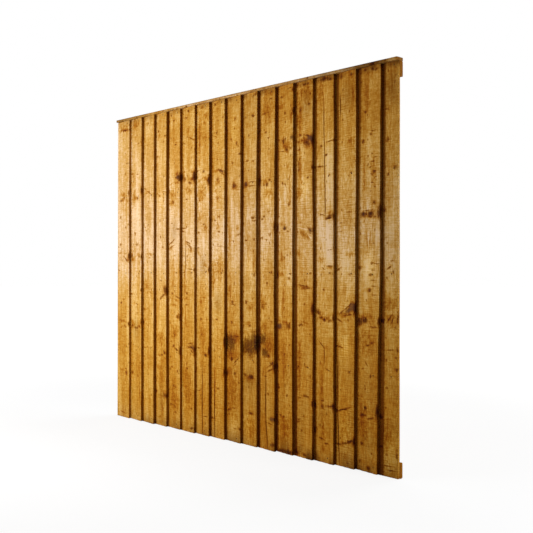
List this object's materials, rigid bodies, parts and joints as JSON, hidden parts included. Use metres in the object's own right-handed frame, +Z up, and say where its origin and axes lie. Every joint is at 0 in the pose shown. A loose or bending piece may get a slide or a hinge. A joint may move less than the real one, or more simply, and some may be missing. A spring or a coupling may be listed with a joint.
{
  "type": "featheredge fence panel",
  "caption": "Flat timber fence panel of upright tapered boards, each lapping the next, nailed to horizontal rails under a capping strip.",
  "frame": {"origin": "foot of the bottom rail's left end face, in the plane where the boards meet the rails", "axes": "+X runs along the panel, left to right as seen from the boarded side; +Y goes through the panel, from the boarded side to the rail side; +Z is up"},
  "size_m": [1.829, 0.0376, 1.524],
  "materials": {
    "boards": "rough-sawn softwood, dip stained golden brown",
    "rails": "sawn softwood, dip stained brown",
    "cap": "planed softwood, dip stained tan brown"
  },
  "bodies": {
    "root": {"board_01": "boards", "board_02": "boards", "board_03": "boards", "board_04": "boards", "board_05": "boards", "board_06": "boards", "board_07": "boards", "board_08": "boards", "board_09": "boards", "board_10": "boards", "board_11": "boards", "board_12": "boards", "board_13": "boards", "board_14": "boards", "board_15": "boards", "board_16": "boards", "board_17": "boards", "rail_bottom": "rails", "rail_middle_1": "rails", "rail_middle_2": "rails", "rail_middle_3": "rails", "rail_top": "rails", "cap": "cap"}
  },
  "joints": []
}
